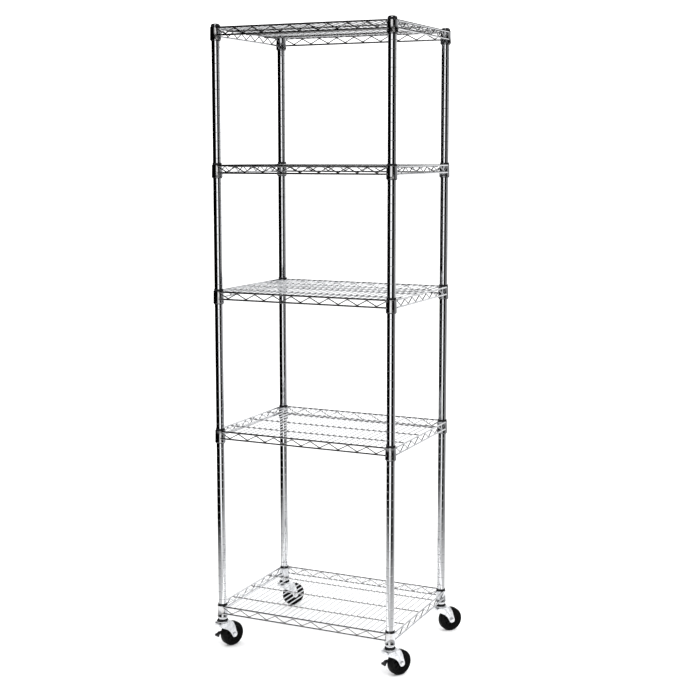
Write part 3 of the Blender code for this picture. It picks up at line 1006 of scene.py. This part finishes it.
tyre = {
    "radius": 0.0381,
    "width": 0.0240,
    "seat": 0.0281,
    "shoulder": 0.0052,
    "treadStep": 0.0004,
    "sides": 72,
}
hub = {
    "radius": 0.0279,
    "boss": 0.0141,
    "web": 0.0045,
    "rim": 0.0086,
    "ribs": 8,
    "ribRing": 0.0165,
    "sides": 64,
}


def tyreMesh(values, centre):
    half, radius, shoulder = values["width"] / 2, values["radius"], values["shoulder"]
    side = [(values["seat"], half - 0.0022), (values["seat"] + 0.0012, half - 0.0012),
            (0.0310, half - 0.0006), (0.0317, half - 0.0010), (0.0324, half - 0.0003)]
    for index in range(9):
        angle = math.radians(90 * index / 8)
        drop = shoulder * (1.0 - math.sin(angle)) + (values["treadStep"] if index < 8 else 0.0)
        side.append((radius - drop, half - shoulder * (1.0 - math.cos(angle))))
    side += [(radius - 0.0001, half * 0.30), (radius - 0.0001, 0.0007), (radius, 0.0004)]
    loop = side + [(r, -depth) for r, depth in reversed(side)]
    bm = bmesh.new()
    turn(bm, loop, values["sides"], "Y", centre)
    return toMesh("tyre", bm)


def hubMesh(values, centre):
    boss, web, rim, radius = values["boss"], values["web"], values["rim"], values["radius"]
    side = [(0.0042, boss), (0.0078, boss), (0.0085, boss - 0.0007), (0.0094, web + 0.0012),
            (0.0104, web), (0.0225, web), (0.0236, web + 0.0008), (0.0243, rim - 0.0006), (0.0250, rim),
            (radius - 0.0006, rim), (radius, rim - 0.0006)]
    bm = bmesh.new()
    turn(bm, side + [(r, -depth) for r, depth in reversed(side)], values["sides"], "Y", centre)
    return toMesh("hub", bm)


def hubRibs(values):
    # radial ribs on both faces of the web, drawn round Z and then laid round the axle
    bm = bmesh.new()
    for side in (-1, 1):
        low, high = side * (values["web"] - 0.0010), side * (values["rim"] - 0.0014)
        edges = []
        for x, wide in ((-0.0075, 0.0011), (0.0075, 0.0009)):
            for z in (low, high):
                reach = wide if z == low else wide * 0.65
                edges.append([bm.verts.new((x, -reach, z)), bm.verts.new((x, reach, z))])
        a, b, c, d = edges
        for face in ((a[0], a[1], b[1], b[0]), (c[0], d[0], d[1], c[1]), (a[0], c[0], c[1], a[1]),
                     (b[0], b[1], d[1], d[0]), (a[0], b[0], d[0], c[0]), (a[1], c[1], d[1], b[1])):
            bm.faces.new(face)
    return toMesh("ribs", bm)


lever = {
    "plate": 0.0020,
    "eye": 0.0092,
    "tongueSide": 0.0042,
    "rollPlace": (-0.0485, 0.0),
    "rollRadius": 0.0042,
    "gripRidges": 3,
}


def leverMesh(values, casterValues):
    # an arm on the axle, outside one leg, with a narrow rolled tongue in front of the tyre
    inside = casterValues["forkInside"] + casterValues["forkPlate"] + 0.0003
    outside = inside + values["plate"]
    roll, radius = values["rollPlace"], values["rollRadius"]
    arm = arc((0.0, 0.0), values["eye"], 95.0, -95.0, 22)
    arm += smoothLine([(-0.0040, -0.0083), (-0.0200, -0.0040), (-0.0400, -0.0010)], 6)
    arm += smoothLine([(-0.0436, 0.0020), (-0.0400, 0.0078), (-0.0200, 0.0078), (-0.0040, 0.0088)], 6)
    bm = bmesh.new()
    slab(bm, arm, inside, outside)
    tongue = [(-0.0395, 0.0056), (-0.0395, 0.0078), (-0.0425, 0.0064), (-0.0455, 0.0045)]
    tongue += arc(roll, radius, 70.0, 330.0, 20) + [(-0.0442, 0.0010), (-0.0425, 0.0034)]
    pad = bmesh.new()
    slab(pad, tongue, values["tongueSide"], outside - 0.0002)
    hole = rodMesh(0.0043, -0.0300, 0.0300, "Y", sides=24)
    steps = [("UNION", toMesh("pad", pad)), ("DIFFERENCE", hole)]
    bent = pressed("lever", toMesh("lever", bm), steps, 0.0005)
    start = (-0.0414, values["tongueSide"] + 0.0012, 0.0071)
    given = {"Start": start, "Run": (0.0, outside - values["tongueSide"] - 0.0040, 0.0),
             "Step": (-0.0018, 0.0, -0.0011), "Count": values["gripRidges"], "Diameter": 0.0009, "Sides": 8,
             "Material": finishes["lever"]}
    return [bent, grow("ridges", trees["wires"], given)]


def buildCasters(values):
    centre = Vector((values["trail"], 0.0, values["axle"]))
    fork, rib = forkMesh(values), ribMesh(values)
    seat = values["forkInside"] + values["forkPlate"] + 0.0001
    axles = {False: axleMesh(values, {-1: seat, 1: seat}),
             True: axleMesh(values, {-1: seat, 1: seat + lever["plate"] + 0.0004})}
    tread, wheel = tyreMesh(tyre, centre), hubMesh(hub, centre)
    middle = (0.0, 0.0, 0.0)
    spokes = shapeRound("spokes", hubRibs(hub), middle, hub["ribs"], hub["ribRing"], finishes["hub"])
    lay = Matrix.Translation(centre) @ Matrix.Rotation(math.radians(90), 4, "X")
    levers = leverMesh(lever, values)
    for corner in corners:
        turned = swivelMatrix(corner)
        onFork, onWheel = f"fork_{corner}", f"wheel_{corner}"
        assemble(f"fork_plates_{corner}", [(fork, finishes["zinc"], turned), (rib, finishes["zinc"], turned)],
                 onFork, [f"caster_fork_{corner}"])
        assemble(f"axle_bolt_{corner}", [(axles[corner in braked], finishes["zinc"], turned)],
                 onFork, [f"caster_axle_{corner}"])
        assemble(f"tyre_{corner}", [(tread, finishes["tyre"], turned)], onWheel,
                 [f"caster_tyre_{corner}"])
        assemble(f"hub_{corner}", [(wheel, finishes["hub"], turned), (spokes, finishes["hub"], turned @ lay)],
                 onWheel, [f"caster_hub_{corner}"])
        if corner in braked:
            onAxle = turned @ Matrix.Translation(centre)
            assemble(f"brake_lever_{corner}", [(mesh, finishes["lever"], onAxle) for mesh in levers],
                     f"brake_{corner}", [f"caster_brake_{corner}"])


buildSwivels(caster)
buildCasters(caster)
print("casters made,", len(corners))


# Studio

studio = {
    "floorColour": (0.90, 0.90, 0.90, 1.0),
    "floorTone": (0.86, 0.86, 0.865, 1.0),
    "floorReach": 40.0,
    "worldLevel": 1.60,
    "cardReach": 2.3,
    "cardFoot": 0.001,
    "cardGlow": 1.3,
    "mirrorStart": 0.65,
    "mirrorEnd": 1.85,
    "mirrorLevel": 0.50,
    "cardTop": 2.35,
    "cardFade": 0.35,
    "cardSides": 96,
    "canopyHole": 0.13,
    "canopyRise": 0.5,
}
softboxes = {
    "key": {"place": (3.4, -2.6, 4.4), "size": (2.2, 2.2), "power": 90.0},
    "fill": {"place": (3.8, 2.4, 3.6), "size": (2.0, 2.0), "power": 40.0},
}
lightTarget = (0.0, 0.0, 0.5)
camera = {
    "place": (1.7690, -3.6984, 1.5491),
    "tilt": 90.0 - 7.301,
    "turn": 24.826,
    "lens": 68.35,
    "shiftUp": -0.04,
}
# brightness of the reflected walls by angle round the object, from straight behind, by way of the
# left, to the camera at 0.5 and on by way of the right
wallStops = ((0.00, 1.0), (0.025, 0.8), (0.05, 0.0), (0.415, 0.0), (0.445, 1.0), (0.51, 1.0),
             (0.535, 0.0), (0.645, 0.0), (0.69, 0.20), (0.83, 0.28), (0.87, 1.0), (1.00, 1.0))


def makeFloor(values):
    material, shader, graph, place = startFinish("pale floor", {"Roughness": 0.6})
    tone = graph.noise(place, 1.2, 3.0).ramp(0.35, 0.75)
    graph.join(graph.mixColour(tone, values["floorColour"], values["floorTone"]), shader.inputs["Base Color"])
    reach = values["floorReach"]
    mesh = bpy.data.meshes.new("floor")
    mesh.from_pydata([(-reach, -reach, 0.0), (reach, -reach, 0.0), (reach, reach, 0.0), (-reach, reach, 0.0)],
                     [], [(0, 1, 2, 3)])
    mesh.materials.append(material)
    newObject("floor", mesh)


def makeCards(values):
    # a ring of light and dark cards and a dark canopy, which only the reflections see
    material = bpy.data.materials.new("reflected cards")
    material.use_nodes = True
    graph = Graph(material.node_tree)
    shader = material.node_tree.nodes["Principled BSDF"]
    shader.inputs["Base Color"].default_value = (0.0, 0.0, 0.0, 1.0)
    shader.inputs["Specular IOR Level"].default_value = 0.0
    shader.inputs["Emission Strength"].default_value = values["cardGlow"]
    parts = graph.add("ShaderNodeSeparateXYZ", None, {0: graph.add("ShaderNodeTexCoord", out="Object")})
    x, y, z = parts, parts.other("Y"), parts.other("Z")
    turn = graph.maths("ARCTAN2", x, y * -1.0) / math.tau - camera["turn"] / 360.0 + 0.5
    wall = graph.add("ShaderNodeValToRGB", {"stops": wallStops}, {0: turn % 1.0})
    reach = graph.add("ShaderNodeVectorMath", {"operation": "LENGTH"},
                      {0: graph.add("ShaderNodeCombineXYZ", None, {0: x, 1: y})}, out="Value")
    spread = reach.ramp(values["mirrorStart"], values["mirrorEnd"])  # the floor cards fade in outwards
    wall = values["mirrorLevel"] + spread * (wall - values["mirrorLevel"])
    level = wall * (1.0 - z.ramp(values["cardTop"] - values["cardFade"], values["cardTop"]))
    black, white = (0.0, 0.0, 0.0, 1.0), (1.0, 1.0, 1.0, 1.0)
    graph.join(graph.mixColour(level, black, white), shader.inputs["Emission Color"])
    bm = bmesh.new()
    foot, top, far, sides = values["cardFoot"], values["cardTop"], values["cardReach"], values["cardSides"]
    outline = [(values["mirrorStart"], foot), (far, foot), (far, top),
               (far * values["canopyHole"], top + values["canopyRise"])]
    rings = []
    for radius, height in outline:
        ring = []
        for index in range(sides):
            angle = math.tau * index / sides
            ring.append(bm.verts.new((radius * math.cos(angle), radius * math.sin(angle), height)))
        rings.append(ring)
    bridge(bm, rings)
    mesh = bpy.data.meshes.new("cards")
    bm.to_mesh(mesh)
    bm.free()
    mesh.materials.append(material)
    item = newObject("cards", mesh)
    item.visible_camera = False
    item.visible_diffuse = False
    item.visible_shadow = False
    item.visible_transmission = False


def makeWorld(values):
    world = bpy.data.worlds.new("studio")
    world.use_nodes = True
    bpy.context.scene.world = world
    background = world.node_tree.nodes["Background"]
    background.inputs["Color"].default_value = (1.0, 1.0, 1.0, 1.0)
    background.inputs["Strength"].default_value = values["worldLevel"]


def addSoftbox(name, values):
    light = bpy.data.lights.new(name, "AREA")
    light.shape = "RECTANGLE"
    light.size, light.size_y = values["size"]
    light.energy = values["power"]
    item = newObject(name, light)
    item.location = values["place"]
    aim = Vector(lightTarget) - Vector(values["place"])
    item.rotation_euler = aim.to_track_quat("-Z", "Y").to_euler()


def makeCamera(values):
    data = bpy.data.cameras.new("camera")
    data.lens = values["lens"]
    data.sensor_width = 36.0
    data.shift_y = values["shiftUp"]
    data.clip_end = 200.0
    item = newObject("camera", data)
    item.location = values["place"]
    item.rotation_euler = (math.radians(values["tilt"]), 0.0, math.radians(values["turn"]))
    bpy.context.scene.camera = item


makeFloor(studio)
makeCards(studio)
makeWorld(studio)
for lightName, lightValues in softboxes.items():
    addSoftbox(lightName, lightValues)
makeCamera(camera)
bpy.context.scene.view_settings.view_transform = "Standard"
print("studio made")
